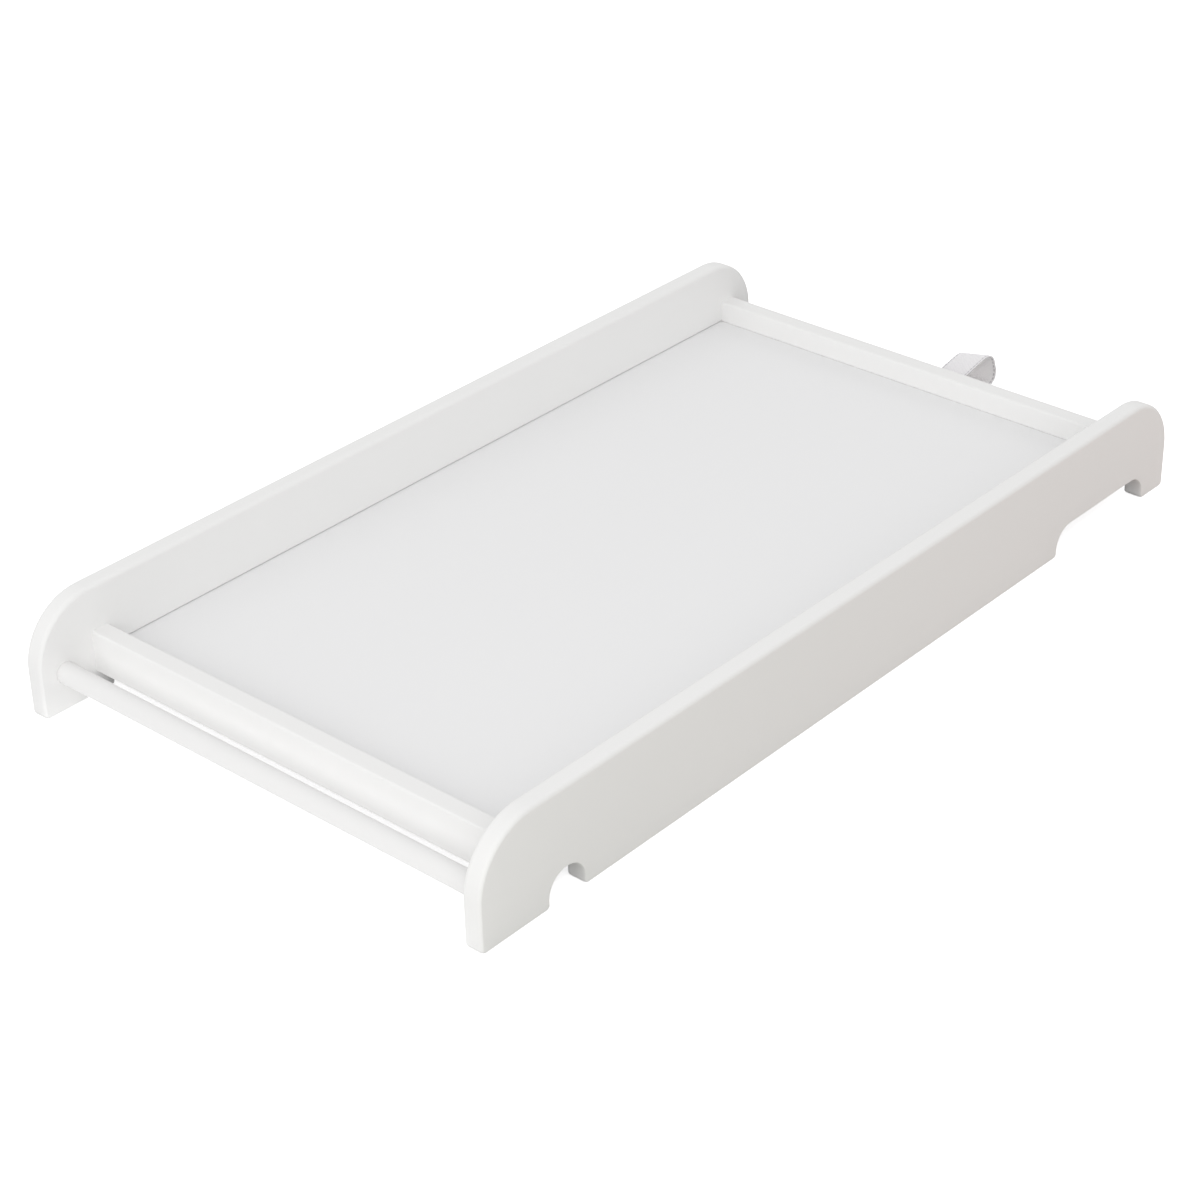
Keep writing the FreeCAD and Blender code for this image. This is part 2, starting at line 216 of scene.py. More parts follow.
class GeometryRule(NodeTree):
    """A Geometry Nodes tree with named inputs, which ends in plain geometry with a material."""

    def __init__(self, name: str, inputs: dict[str, float]) -> None:
        """Make the tree.

        Args:
            name: What the rule makes.
            inputs: The value of each named input.
        """
        super().__init__(bpy.data.node_groups.new(name, "GeometryNodeTree"))
        face = self.tree.interface
        face.new_socket(name="Geometry", in_out="OUTPUT", socket_type="NodeSocketGeometry")
        kinds = {label: "NodeSocketInt" if isinstance(value, int) else "NodeSocketFloat"
                 for label, value in inputs.items()}
        sockets = {"Geometry": "NodeSocketGeometry", **kinds, "Finish": "NodeSocketMaterial"}
        self.identifiers = {label: face.new_socket(name=label, in_out="INPUT", socket_type=kind).identifier
                            for label, kind in sockets.items()}
        self.inputs = inputs
        self.given = self.add("NodeGroupInput").other

    def store(self, geometry: Value, name: str, value: Value, kind: str = "FLOAT") -> Value:
        """The geometry, with a named value on each of its points."""
        return self.add("GeometryNodeStoreNamedAttribute", {"data_type": kind, "domain": "POINT"},
                        {"Geometry": geometry, "Name": name, "Value": value})

    def scaled(self, vector: Value, share: Value) -> Value:
        """A vector times a number."""
        return self.add("ShaderNodeVectorMath", {"operation": "SCALE"}, {0: vector, "Scale": share})

    def end(self, geometry: Value) -> None:
        """Close the tree: instances become plain mesh, and take the finish.

        Args:
            geometry: What the rule makes.
        """
        plain = self.add("GeometryNodeRealizeInstances", None, {"Geometry": geometry})
        dressed = self.add("GeometryNodeSetMaterial", None,
                           {"Geometry": plain, "Material": self.given("Finish")})
        self.add("NodeGroupOutput", None, {"Geometry": dressed})

    def grow(self, name: str, carrier: Object, finish: Material) -> Object:
        """Run the rule on an object and keep the result as a plain mesh.

        Args:
            name: The name of the finished piece.
            carrier: The object that holds the rule's input geometry, which is used up.
            finish: The piece's material.
        Returns:
            The finished piece.
        """
        modifier = carrier.modifiers.new(name, "NODES")
        modifier.node_group = self.tree
        for label, given in {**self.inputs, "Finish": finish}.items():
            modifier[self.identifiers[label]] = given
        graph = bpy.context.evaluated_depsgraph_get()
        grown = bpy.data.meshes.new_from_object(carrier.evaluated_get(graph), depsgraph=graph)
        bpy.data.objects.remove(carrier)
        return placed(name, grown)


def labelled(sizes: object, *without: str) -> dict[str, float]:
    """Fields of a dataclass as named inputs of a rule, such as cord_points as Cord points."""
    return {field.replace("_", " ").capitalize(): value for field, value in vars(sizes).items()
            if field not in without}


def placed(name: str, data: bpy.types.ID) -> Object:
    """A new object at the origin that shows the given data."""
    thing = bpy.data.objects.new(name, data)
    bpy.context.scene.collection.objects.link(thing)
    return thing


def middle(node: str) -> Vector:
    """The middle of a frame node's box."""
    low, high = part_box(node)
    return (low + high) / 2


def radius_of(node: str) -> float:
    """The radius of a round frame node, from its box along X."""
    low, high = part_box(node)
    return (high.x - low.x) / 2


@dataclass(frozen=True)
class Corner:
    """A square corner of a flat outline, with its radius and the share of an inset on the edge after it."""

    u: float
    v: float
    radius: float
    share: float = 1.0


def rounded_outline(corners: list[Corner], inset: float = 0.0) -> list[Point2]:
    """The points round an outline of square corners, each rounded.

    Args:
        corners: Corners in anticlockwise order, with every edge along u or v.
        inset: Distance by which the outline shrinks; outer rounds shrink with it and inner ones grow.
    Returns:
        The points, as many and in the same order for any inset.
    """
    points: list[Vector] = []
    for before, here, after in zip(corners[-1:] + corners[:-1], corners, corners[1:] + corners[:1]):
        coming = Vector((here.u - before.u, here.v - before.v)).normalized()
        going = Vector((after.u - here.u, after.v - here.v)).normalized()
        first, last = Vector((-coming.y, coming.x)), Vector((-going.y, going.x))
        turn = coming.x * going.y - coming.y * going.x
        radius = here.radius - turn * inset * (before.share + here.share) / 2
        centre = Vector((here.u, here.v)) + turn * radius * (first + last)
        centre += inset * (before.share * first + here.share * last)
        steps = max(LEAST_STEPS, round(ROUND_STEPS * math.sqrt(here.radius / MM)))
        for step in range(steps + 1):
            angle = math.pi / 2 * step / steps
            inward = math.cos(angle) * first + math.sin(angle) * last
            point = centre - turn * radius * inward
            if not points or (point - points[-1]).length > SAME_POINT:
                points.append(point)
    return [(point.x, point.y) for point in points]


def circle_outline(centre: Sequence[float], radius: float, steps: int) -> list[Point2]:
    """The points round a circle, anticlockwise."""
    turns = [2 * math.pi * step / steps for step in range(steps)]
    return [(centre[0] + radius * math.cos(turn), centre[1] + radius * math.sin(turn)) for turn in turns]


def rectangle(low: Sequence[float], high: Sequence[float], radius: float) -> list[Corner]:
    """The four corners of a rectangle, anticlockwise, all with one radius."""
    return [Corner(low[0], low[1], radius), Corner(high[0], low[1], radius),
            Corner(high[0], high[1], radius), Corner(low[0], high[1], radius)]


class Draft:
    """A solid in the making: rings of points at several depths, with walls between them and flat covers."""

    def __init__(self, lie: Lie) -> None:
        """Start an empty draft whose outlines lie one way or the other."""
        self.lie = lie
        self.mesh = bmesh.new()

    def ring(self, outline: Sequence[Point2], depth: float) -> Ring:
        """Add points round an outline, joined by edges.

        Args:
            outline: Where the points lie in their plane.
            depth: The depth of that plane.
        Returns:
            The points, in order.
        """
        upright = self.lie is Lie.UPRIGHT
        verts = [self.mesh.verts.new((u, depth, v) if upright else (u, v, depth)) for u, v in outline]
        for start, end in zip(verts, verts[1:] + verts[:1]):
            self.mesh.edges.new((start, end))
        return verts

    def wall(self, *rings: Ring) -> None:
        """Add four-sided faces from each ring to the next.

        Args:
            rings: Rings of equally many points.
        """
        for lower, upper in zip(rings, rings[1:]):
            for index, corner in enumerate(lower):
                following = (index + 1) % len(lower)
                self.mesh.faces.new((corner, lower[following], upper[following], upper[index]))

    def turned(self, centre: Sequence[float], stations: Sequence[Point2], steps: int) -> list[Ring]:
        """Add the wall of a turned shape.

        Args:
            centre: Where its axis crosses the plane of the outlines.
            stations: The radius and the depth of each ring.
            steps: How many points a ring has.
        Returns:
            The rings, for covers.
        """
        rings = [self.ring(circle_outline(centre, radius, steps), depth) for radius, depth in stations]
        self.wall(*rings)
        return rings

    def cover(self, *rings: Ring) -> None:
        """Add a flat face inside one ring, with a hole for each further ring."""
        edges = [self.mesh.edges.get((start, end)) for verts in rings
                 for start, end in zip(verts, verts[1:] + verts[:1])]
        bmesh.ops.triangle_fill(self.mesh, edges=edges, use_beauty=True)

    def recess(self, outline: Sequence[Point2], mouth: float, floor: float) -> Ring:
        """Add a blind hole between two depths.

        Args:
            outline: The hole's outline.
            mouth: Depth of the face that it opens in.
            floor: Depth of its flat end.
        Returns:
            The ring at the mouth, for the cover that the hole is in.
        """
        rim, end = self.ring(outline, mouth), self.ring(outline, floor)
        self.wall(rim, end)
        self.cover(end)
        return rim

    def slab(self, corners: list[Corner], near: float, far: float, edge_round: float) -> tuple[Ring, Ring]:
        """Add the edges of a board, rounded on both faces.

        Args:
            corners: The board's outline.
            near: Depth of one face.
            far: Depth of the other face.
            edge_round: Radius of the rounding along both faces, or zero.
        Returns:
            The rings round the near and the far face, for their covers.
        """
        inward = math.copysign(edge_round, far - near)
        steps = round(ROUND_STEPS * math.sqrt(edge_round / MM))
        turns = [math.pi / 2 * step / max(steps, 1) for step in range(steps + 1)]
        outlines = [(rounded_outline(corners, edge_round * (1 - math.sin(turn))), 1 - math.cos(turn))
                    for turn in turns]
        rings = [self.ring(outline, near + inward * share) for outline, share in outlines]
        rings += [self.ring(outline, far - inward * share) for outline, share in reversed(outlines)]
        self.wall(*rings)
        return rings[0], rings[-1]

    def piece(self, name: str, finish: Material) -> Object:
        """Close the draft as a smooth-shaded piece.

        Args:
            name: The piece's name.
            finish: Its material.
        Returns:
            The finished piece, with its flat faces shaded flat up to their rounded edges.
        """
        mesh = self.mesh
        bmesh.ops.remove_doubles(mesh, verts=mesh.verts[:], dist=SAME_POINT)
        bmesh.ops.recalc_face_normals(mesh, faces=mesh.faces[:])
        for face in mesh.faces:
            face.smooth = True
        for edge in mesh.edges:
            edge.smooth = edge.is_manifold and edge.calc_face_angle() < CREASE
        data = bpy.data.meshes.new(name)
        mesh.to_mesh(data)
        mesh.free()
        data.materials.append(finish)
        made = placed(name, data)
        even = made.modifiers.new("Even shading", "WEIGHTED_NORMAL")
        even.keep_sharp = True
        return made


def dressed(made: Object, body: Body, slot: Slot, *nodes: str) -> Object:
    """Hand a finished piece to the frame.

    Args:
        made: The piece.
        body: The body that it rides on.
        slot: The piece's material slot in the record; not used.
        nodes: The frame's nodes that it stands for.
    Returns:
        The same piece.
    """
    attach(made, body.value)
    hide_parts(*nodes)
    log.info("%s: %d faces, for %s", made.name, len(made.data.polygons), ", ".join(nodes))
    return made


class Surface(NodeTree):
    """The node tree of a material, with its shader and the place that its patterns follow."""

    def __init__(self, name: str) -> None:
        """Make a material of that name with nothing in it."""
        self.material = bpy.data.materials.new(name)
        self.material.use_nodes = True
        super().__init__(self.material.node_tree)
        self.place = self.add("ShaderNodeTexCoord", out="Object")

    def stretched(self, stretch: Point3, place: Value | None = None) -> Value:
        """A place, or else the object's own, with its pattern stretched along the axes."""
        return self.add("ShaderNodeMapping", None, {"Vector": place or self.place, "Scale": stretch})

    def grey(self, level: Value) -> Value:
        """A grey of that level."""
        return self.add("ShaderNodeCombineColor", None, {"Red": level, "Green": level, "Blue": level})

    def stored(self, name: str, out: str = "Fac") -> Value:
        """A value that the mesh carries on its points."""
        return self.add("ShaderNodeAttribute", {"attribute_name": name}, out=out)

    def bump(self, height: Value, distance: float, strength: float) -> Value:
        """A normal that follows small heights."""
        return self.add("ShaderNodeBump", None,
                        {"Height": height, "Distance": distance, "Strength": strength})

    def end(self, **sockets: Given) -> Material:
        """Close the tree with its shader.

        Args:
            sockets: Values or links for the shader's inputs, with underscores for spaces.
        Returns:
            The finished material.
        """
        named = {label.replace("_", " "): given for label, given in sockets.items()}
        shader = self.add("ShaderNodeBsdfPrincipled", None, named)
        self.add("ShaderNodeOutputMaterial", None, {"Surface": shader})
        return self.material


@dataclass(frozen=True)
class SatinPaint:
    """White satin paint, sprayed on boards whose grain shows through very faintly."""

    name: str
    colour: Colour
    shade: Colour
    grain: Grain
    roughness: float = 0.57
    cloud_roughness: float = 0.06
    peel_roughness: float = 0.05
    shine: float = 0.22
    cloud_scale: float = 7.0
    cloud_detail: float = 3.0
    cloud_share: float = 0.6
    peel_scale: float = 650.0
    peel_share: float = 0.55
    grain_scale: float = 170.0
    grain_detail: float = 4.0
    relief: float = 0.12 * MM
    relief_strength: float = 0.5

    def material(self) -> Material:
        """The paint as a material."""
        surface = Surface(self.name)
        cloud = surface.noise(surface.place, self.cloud_scale, self.cloud_detail)
        peel = surface.noise(surface.place, self.peel_scale)
        fibre = surface.noise(surface.stretched(self.grain.value), self.grain_scale, self.grain_detail)
        height = self.peel_share * peel + (1 - self.peel_share) * fibre
        tone = self.cloud_share * cloud + (1 - self.cloud_share) * fibre
        return surface.end(
            Base_Color=surface.blend(tone, self.shade, self.colour),
            Roughness=self.roughness + self.cloud_roughness * cloud + self.peel_roughness * peel,
            Specular_IOR_Level=self.shine,
            Normal=surface.bump(height, self.relief, self.relief_strength))


@dataclass(frozen=True)
class WovenTape:
    """Cotton webbing: a plain weave of pale cords with painted shade down between them, stitched along both
    edges. The inside of the loop is painted lighter and warmer, as painted light.
    """

    name: str
    cord: Colour
    # A lighter, warmer copy of the cord colour for the inside of the loop: painted light on its shade.
    painted_light_inner_cord: Colour
    # Painted shade down between the cords, where the weave dips.
    valley: Colour
    thread: Colour
    stitch: float = 4.5 * MM
    gap: float = 0.35
    fibre_stretch: Point3 = (1.0, 0.2, 1.0)
    fibre_scale: float = 2600.0
    fibre_detail: float = 3.0
    crest_share: float = 0.75
    roughness: float = 0.78
    fibre_roughness: float = 0.18
    softness: float = 0.7
    soft_depth: float = 4.0 * MM
    sheen: float = 0.25
    sheen_roughness: float = 0.5
    relief: float = 0.15 * MM
    relief_strength: float = 0.6

    def material(self) -> Material:
        """The webbing as a material, which reads the weave that its mesh carries."""
        surface = Surface(self.name)
        crest = surface.stored("crest")
        along = surface.stored("weave", "Vector")
        seam = surface.stored("seam")
        spot = surface.split(along, "Z")
        # Painted light: the inside of the loop takes the lighter, warmer cord colour.
        yarn_with_painted_light = surface.blend(0.5 + 0.5 * spot, self.painted_light_inner_cord, self.cord)
        place = surface.stretched(self.fibre_stretch, along)
        fibre = surface.noise(place, self.fibre_scale, self.fibre_detail)
        tone = self.crest_share * crest + (1 - self.crest_share) * fibre
        # Painted shade: the colour darkens towards the dips between the cords.
        weave = surface.blend(tone, self.valley, yarn_with_painted_light)
        sewn = seam * ((spot.other("Y") / self.stitch).maths("FRACT") > self.gap)
        return surface.end(
            Base_Color=surface.blend(sewn, weave, self.thread),
            Roughness=self.roughness + self.fibre_roughness * fibre,
            Subsurface_Weight=self.softness,
            Subsurface_Radius=(1.0, 1.0, 1.0),
            Subsurface_Scale=self.soft_depth,
            Sheen_Weight=self.sheen,
            Sheen_Roughness=self.sheen_roughness,
            Normal=surface.bump(fibre, self.relief, self.relief_strength))


@dataclass(frozen=True)
class BareFinish:
    """Wood or metal without paint, whose tone, gloss and relief follow one fine pattern."""

    name: str
    light: Colour
    dark: Colour
    scale: float
    detail: float
    roughness: float
    rougher: float
    relief: float
    relief_strength: float
    metallic: float = 0.0
    stretch: Point3 = (1.0, 1.0, 1.0)

    def material(self) -> Material:
        """The finish as a material."""
        surface = Surface(self.name)
        fleck = surface.noise(surface.stretched(self.stretch), self.scale, self.detail)
        return surface.end(
            Base_Color=surface.blend(fleck, self.dark, self.light),
            Metallic=self.metallic,
            Roughness=self.roughness + self.rougher * fleck,
            Normal=surface.bump(fleck, self.relief, self.relief_strength))


@dataclass
class TrayJoints:
    """Sizes that several pieces of the tray share, apart from those that the frame gives."""

    groove_depth: float = 5.0 * MM
    base_play: float = 0.5 * MM
    dowel_in_panel: float = 11.5 * MM
    dowel_in_rail: float = 19.5 * MM
    hole_steps: int = 24

    def groove(self, gap: float) -> tuple[Vector, Vector]:
        """The box that the base's grooves are cut round.

        Args:
            gap: Room above the base.
        Returns:
            The box's low and high corners.
        """
        low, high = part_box("base_panel")
        play = Vector((self.base_play, self.base_play, 0))
        return low - play, high + play + Vector((0, 0, gap))

    def dowel_holes(self, end: str, side: str) -> list[list[Point2]]:
        """The outlines, in X and Z, of the two dowel holes of one joint."""
        nodes = [f"{end}_{side}_{level}_dowel" for level in ("upper", "lower")]
        return [circle_outline(middle(node).xz, radius_of(node), self.hole_steps) for node in nodes]


@dataclass
class SidePanel:
    """A notched side board, with the groove and the blind holes on its inner face."""

    side: str
    joints: TrayJoints
    corner_radius: float = 55.0 * MM
    foot_round: float = 3.5 * MM
    edge_round: float = 4.0 * MM
    lower_share: float = 0.25
    end_share: float = 0.6
    notch_start: float = 70.0 * MM
    notch_width: float = 37.0 * MM
    notch_height: float = 26.0 * MM
    foot_length: float = 35.5 * MM
    slot_length: float = 132.0 * MM
    slot_height: float = 24.5 * MM
    slot_radius: float = 18.5 * MM
    socket_clearance: float = 0.1 * MM
    socket_depth: float = 9.0 * MM
    socket_steps: int = 48
    groove_gap: float = 0.8 * MM
    groove_round: float = 0.2 * MM

    def outline(self) -> list[Corner]:
        """The board's corners: upper corners, feet and both notches."""
        low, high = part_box(f"{self.side}_side_panel")
        foot, slot_end = self.foot_round, high.x - self.foot_length
        notches = [(low.x + self.notch_start, self.notch_width, self.notch_height, self.notch_width / 2),
                   (slot_end - self.slot_length, self.slot_length, self.slot_height, self.slot_radius)]
        lower_edge = [(low.x, 0.0, foot)]
        for start, length, height, radius in notches:
            end = start + length
            lower_edge += [(start, 0.0, foot), (start, height, radius),
                           (end, height, radius), (end, 0.0, foot)]
        upper_edge = [Corner(high.x, 0.0, foot, self.end_share), Corner(high.x, high.z, self.corner_radius),
                      Corner(low.x, high.z, self.corner_radius, self.end_share)]
        return [Corner(*corner, self.lower_share) for corner in lower_edge] + upper_edge

    def build(self, paint: Material) -> Object:
        """Make the board.

        Args:
            paint: Its finish.
        Returns:
            The finished piece.
        """
        node = f"{self.side}_side_panel"
        low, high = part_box(node)
        inner, outer = (low.y, high.y) if self.side == "left" else (high.y, low.y)
        inwards = math.copysign(1.0, outer - inner)
        draft = Draft(Lie.UPRIGHT)
        outer_rim, inner_rim = draft.slab(self.outline(), outer, inner, self.edge_round)
        draft.cover(outer_rim)

        groove_low, groove_high = self.joints.groove(self.groove_gap)
        groove = rounded_outline(rectangle(groove_low.xz, groove_high.xz, self.groove_round))
        socket = circle_outline(middle("towel_rail").xz, radius_of("towel_rail") + self.socket_clearance,
                                self.socket_steps)
        recesses = [(groove, self.joints.groove_depth)]
        recesses += [(hole, self.joints.dowel_in_panel) for end in ("towel", "strap")
                     for hole in self.joints.dowel_holes(end, self.side)]
        recesses.append((socket, self.socket_depth))
        mouths = [draft.recess(recess, inner, inner + inwards * depth) for recess, depth in recesses]
        draft.cover(inner_rim, *mouths)
        return dressed(draft.piece(f"painted_{node}", paint), Body.FRAME, Slot.PAINT, node)


@dataclass
class CrossRail:
    """A rail between the panels, with rounded long edges and a groove for the base."""

    end: str
    joints: TrayJoints
    rail_round: float = 2.0 * MM
    groove_gap: float = 0.25 * MM
    groove_ease: float = 0.15 * MM

    def outline(self) -> list[Corner]:
        """The rail's section, with the groove in the side that faces the base."""
        low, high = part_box(f"{self.end}_end_rail")
        groove_low, groove_high = self.joints.groove(self.groove_gap)
        depth, levels = self.joints.groove_depth, (groove_low.z, groove_high.z)
        first, second, third, fourth = rectangle(low.xz, high.xz, self.rail_round)
        if self.end == "towel":
            return [first, second, *self.cut(high.x, high.x - depth, *levels), third, fourth]
        return [first, second, third, fourth, *self.cut(low.x, low.x + depth, *reversed(levels))]

    def cut(self, mouth: float, floor: float, start: float, end: float) -> list[Corner]:
        """The corners of the groove, between two places along X and from one level to another."""
        places = [(mouth, start), (floor, start), (floor, end), (mouth, end)]
        return [Corner(*place, self.groove_ease) for place in places]

    def build(self, paint: Material) -> Object:
        """Make the rail.

        Args:
            paint: Its finish.
        Returns:
            The finished piece.
        """
        node = f"{self.end}_end_rail"
        low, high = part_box(node)
        draft = Draft(Lie.UPRIGHT)
        right_rim, left_rim = draft.slab(self.outline(), low.y, high.y, 0.0)
        for side, rim, face, inwards in (("right", right_rim, low.y, 1), ("left", left_rim, high.y, -1)):
            mouths = [draft.recess(hole, face, face + inwards * self.joints.dowel_in_rail)
                      for hole in self.joints.dowel_holes(self.end, side)]
            draft.cover(rim, *mouths)
        return dressed(draft.piece(f"painted_{node}", paint), Body.FRAME, Slot.PAINT, node)


@dataclass
class TrayBase:
    """The thin board that a changing mat lies on."""

    edge_ease: float = 0.4 * MM
    corner_round: float = 0.8 * MM

    def build(self, paint: Material) -> Object:
        """Make the board.

        Args:
            paint: Its finish.
        Returns:
            The finished piece.
        """
        low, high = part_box("base_panel")
        draft = Draft(Lie.LEVEL)
        corners = rectangle(low.xy, high.xy, self.corner_round)
        for rim in draft.slab(corners, low.z, high.z, self.edge_ease):
            draft.cover(rim)
        return dressed(draft.piece("painted_base_panel", paint), Body.FRAME, Slot.BOARD, "base_panel")


@dataclass
class TowelBar:
    """The round rail for towels, with eased ends inside the panels."""

    chamfer: float = 1.0 * MM
    steps: int = 72

    def build(self, paint: Material) -> Object:
        """Make the rail.

        Args:
            paint: Its finish.
        Returns:
            The finished piece.
        """
        node = "towel_rail"
        low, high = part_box(node)
        full, eased = radius_of(node), radius_of(node) - self.chamfer
        draft = Draft(Lie.UPRIGHT)
        stations = [(eased, low.y), (full, low.y + self.chamfer), (full, high.y - self.chamfer),
                    (eased, high.y)]
        rings = draft.turned(middle(node).xz, stations, self.steps)
        draft.cover(rings[0])
        draft.cover(rings[-1])
        return dressed(draft.piece("painted_towel_rail", paint), Body.TOWEL_BAR, Slot.PAINT, node)


@dataclass
class JointDowels:
    """The glued dowels inside the joints, grooved along their length."""

    flutes: int = 18
    flute_depth: float = 0.22 * MM
    chamfer: float = 0.8 * MM
    ring_points: int = 72

    def rule(self, node: str) -> GeometryRule:
        """A grooved pin on every point that the rule is given.

        Args:
            node: The frame node that the pins take their radius and length from.
        Returns:
            The rule.
        """
        low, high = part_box(node)
        rule = GeometryRule("grooved dowels", {
            **labelled(self), "Radius": radius_of(node), "Length": high.y - low.y})
        given = rule.given
        length, radius = given("Length"), given("Radius")
        half = 0.5 * length
        axis = rule.add("GeometryNodeCurvePrimitiveLine", None, {
            "Start": rule.add("ShaderNodeCombineXYZ", None, {"Y": -1 * half}),
            "End": rule.add("ShaderNodeCombineXYZ", None, {"Y": half})})
        axis = rule.add("GeometryNodeResampleCurve", {"mode": "LENGTH"},
                        {"Curve": axis, "Length": given("Chamfer")})
        place = rule.add("GeometryNodeInputPosition")
        to_end = half - abs(rule.split(place, "Y"))
        taper = 1 - (given("Chamfer") - to_end.least(given("Chamfer"))) / radius
        axis = rule.add("GeometryNodeSetCurveRadius", None, {"Curve": axis, "Radius": taper})
        section = rule.add("GeometryNodeCurvePrimitiveCircle", {"mode": "RADIUS"},
                           {"Resolution": given("Ring points"), "Radius": radius})
        parts = rule.split(place)
        turn = parts.maths("ARCTAN2", parts.other("Y"), parts)
        wave = (turn * given("Flutes")).maths("COSINE")
        share = 1 - given("Flute depth") / radius * (0.5 - 0.5 * wave)
        section = rule.add("GeometryNodeSetPosition", None,
                           {"Geometry": section, "Position": rule.scaled(place, share)})
        pin = rule.add("GeometryNodeCurveToMesh", None,
                       {"Curve": axis, "Profile Curve": section, "Fill Caps": True})
        rule.end(rule.add("GeometryNodeInstanceOnPoints", None,
                          {"Points": given("Geometry"), "Instance": pin}))
        return rule

    def build(self, wood: Material) -> Object:
        """Make all the dowels as one piece.

        Args:
            wood: Their finish.
        Returns:
            The finished piece.
        """
        nodes = [f"{end}_{side}_{level}_dowel" for end in ("towel", "strap") for side in ("left", "right")
                 for level in ("upper", "lower")]
        places = bpy.data.meshes.new("dowel_places")
        places.from_pydata([middle(node) for node in nodes], [], [])
        made = self.rule(nodes[0]).grow("beech_joint_dowels", placed("dowel_places", places), wood)
        return dressed(made, Body.FRAME, Slot.BEECH, *nodes)


@dataclass
class SafetyStrap:
    """A loop of woven tape, both ends of which lie under the strap-end rail.

    The route gives places along the loop, from the end of the upper ply to the end of the lower one: how
    far each is from the screw, along X, and how high it is.
    """

    width: float = 28.0 * MM
    thickness: float = 1.6 * MM
    cords: int = 18
    cord_points: int = 3
    weft: float = 1.5 * MM
    weft_points: int = 3
    relief: float = 0.16 * MM
    selvedge: float = 40.0
    loft: float = 0.4
    skew: float = 4.0 * MM
    lean: float = 0.04
    seam_cord: float = 2.0
    seam_dip: float = 0.4
    route_steps: int = 24
    route: tuple[Point2, ...] = (
        (-8.0, 18.5), (6.0, 18.5), (18.0, 18.6), (30.0, 20.3), (56.0, 25.3), (78.5, 30.0), (89.4, 31.2),
        (98.2, 27.2), (102.8, 18.0), (104.4, 9.6), (101.8, 3.4), (91.0, 1.4), (56.0, 8.4), (30.0, 14.7),
        (18.0, 16.6), (6.0, 16.7), (-8.0, 16.7))

    def path(self) -> Object:
        """The middle line of the tape, smooth through its route."""
        screw = middle("strap_screw")
        data = bpy.data.curves.new("strap_path", "CURVE")
        data.dimensions = "3D"
        data.resolution_u = self.route_steps
        line = data.splines.new("BEZIER")
        line.bezier_points.add(len(self.route) - 1)
        for point, (out, up) in zip(line.bezier_points, self.route):
            point.co = (screw.x + out * MM, screw.y, up * MM)
            point.handle_left_type = point.handle_right_type = "AUTO"
        return placed("strap_path", data)

    def rule(self) -> GeometryRule:
        """A tape with a plain weave, swept along the curve that the rule is given."""
        rule = GeometryRule("woven tape", {
            **labelled(self, "route", "route_steps"),
            "Fold start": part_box("strap_end_rail")[1].x, "Fold end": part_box("safety_strap")[1].x})
        given = rule.given
        path = given("Geometry")
        length = rule.add("GeometryNodeCurveLength", None, {"Curve": path})
        wefts = length / given("Weft")
        grid = rule.add("GeometryNodeMeshGrid", None, {
            "Size X": 1.0, "Size Y": 1.0, "Vertices X": wefts * given("Weft points"),
            "Vertices Y": 2 * given("Cords") * given("Cord points") + 1})
        spot = rule.split(rule.add("GeometryNodeInputPosition"))
        along, around = spot + 0.5, spot.other("Y") + 0.5
        across = 1 - abs(4 * around - 2)
        lower_face = around > 0.5
        upper_sign = 1 - 2 * lower_face

        sampled = rule.add("GeometryNodeSampleCurve", {"mode": "FACTOR", "use_all_curves": True},
                           {"Curves": path, "Factor": along}, "Position")
        normal = rule.vector("NORMALIZE",
                             rule.vector("CROSS_PRODUCT", sampled.other("Tangent"), (0.0, 1.0, 0.0)))
        to_end = (along.least(1 - along) * length / given("Thickness")).least(1.0)
        plump = (1 - abs(across) ** given("Selvedge")) ** 0.5 * to_end ** 0.5
        cord = (0.5 * across + 0.5) * given("Cords")
        row = cord.maths("FLOOR")
        arch = (cord - row) * math.pi
        beat = (along * wefts + row) * math.pi
        crest = arch.maths("SINE") * beat.maths("COSINE")
        spot = rule.split(sampled)
        folded = rule.add("ShaderNodeMapRange", {"interpolation_type": "SMOOTHSTEP"}, {
            "Value": spot, "From Min": given("Fold start"), "From Max": given("Fold end")})
        seam = 1 - abs((1 - abs(across)) * given("Cords") - given("Seam cord")).least(1.0)
        body = 0.5 * given("Thickness") * (1 + given("Loft") * folded) - given("Relief")
        dipped = upper_sign * body * (1 - given("Seam dip") * seam)
        height = plump * (dipped + given("Relief") * crest)
        slip = rule.add("ShaderNodeCombineXYZ", None, {
            "X": -1 * across * folded * given("Skew"), "Y": 0.5 * across * given("Width"),
            "Z": -1 * across * folded * given("Lean") * spot.other("Z")})
        # The weave's Z marks the tape's two faces; the material paints light on the inner one.
        weave = rule.add("ShaderNodeCombineXYZ", None, {
            "X": 0.5 * across * given("Width"), "Y": along * length, "Z": upper_sign})
        # The crest also sets the painted shade between the cords in the tape's material.
        tape = rule.store(grid, "crest", 0.5 + 0.5 * upper_sign * crest)
        tape = rule.store(tape, "seam", seam)
        tape = rule.store(tape, "weave", weave, "FLOAT_VECTOR")
        spread = rule.vector("ADD", rule.vector("ADD", sampled, slip), rule.scaled(normal, height))
        tape = rule.add("GeometryNodeSetPosition", None, {"Geometry": tape, "Position": spread})
        tape = rule.add("GeometryNodeMergeByDistance", None, {"Geometry": tape, "Distance": SAME_POINT})
        rule.end(rule.add("GeometryNodeSetShadeSmooth", None, {"Geometry": tape}))
        return rule

    def build(self, tape: Material) -> Object:
        """Make the strap.

        Args:
            tape: Its finish.
        Returns:
            The finished piece.
        """
        path = self.path()
        made = self.rule().grow("woven_safety_strap", path, tape)
        dressed(made, Body.STRAP, Slot.WEBBING, "safety_strap")
        return made


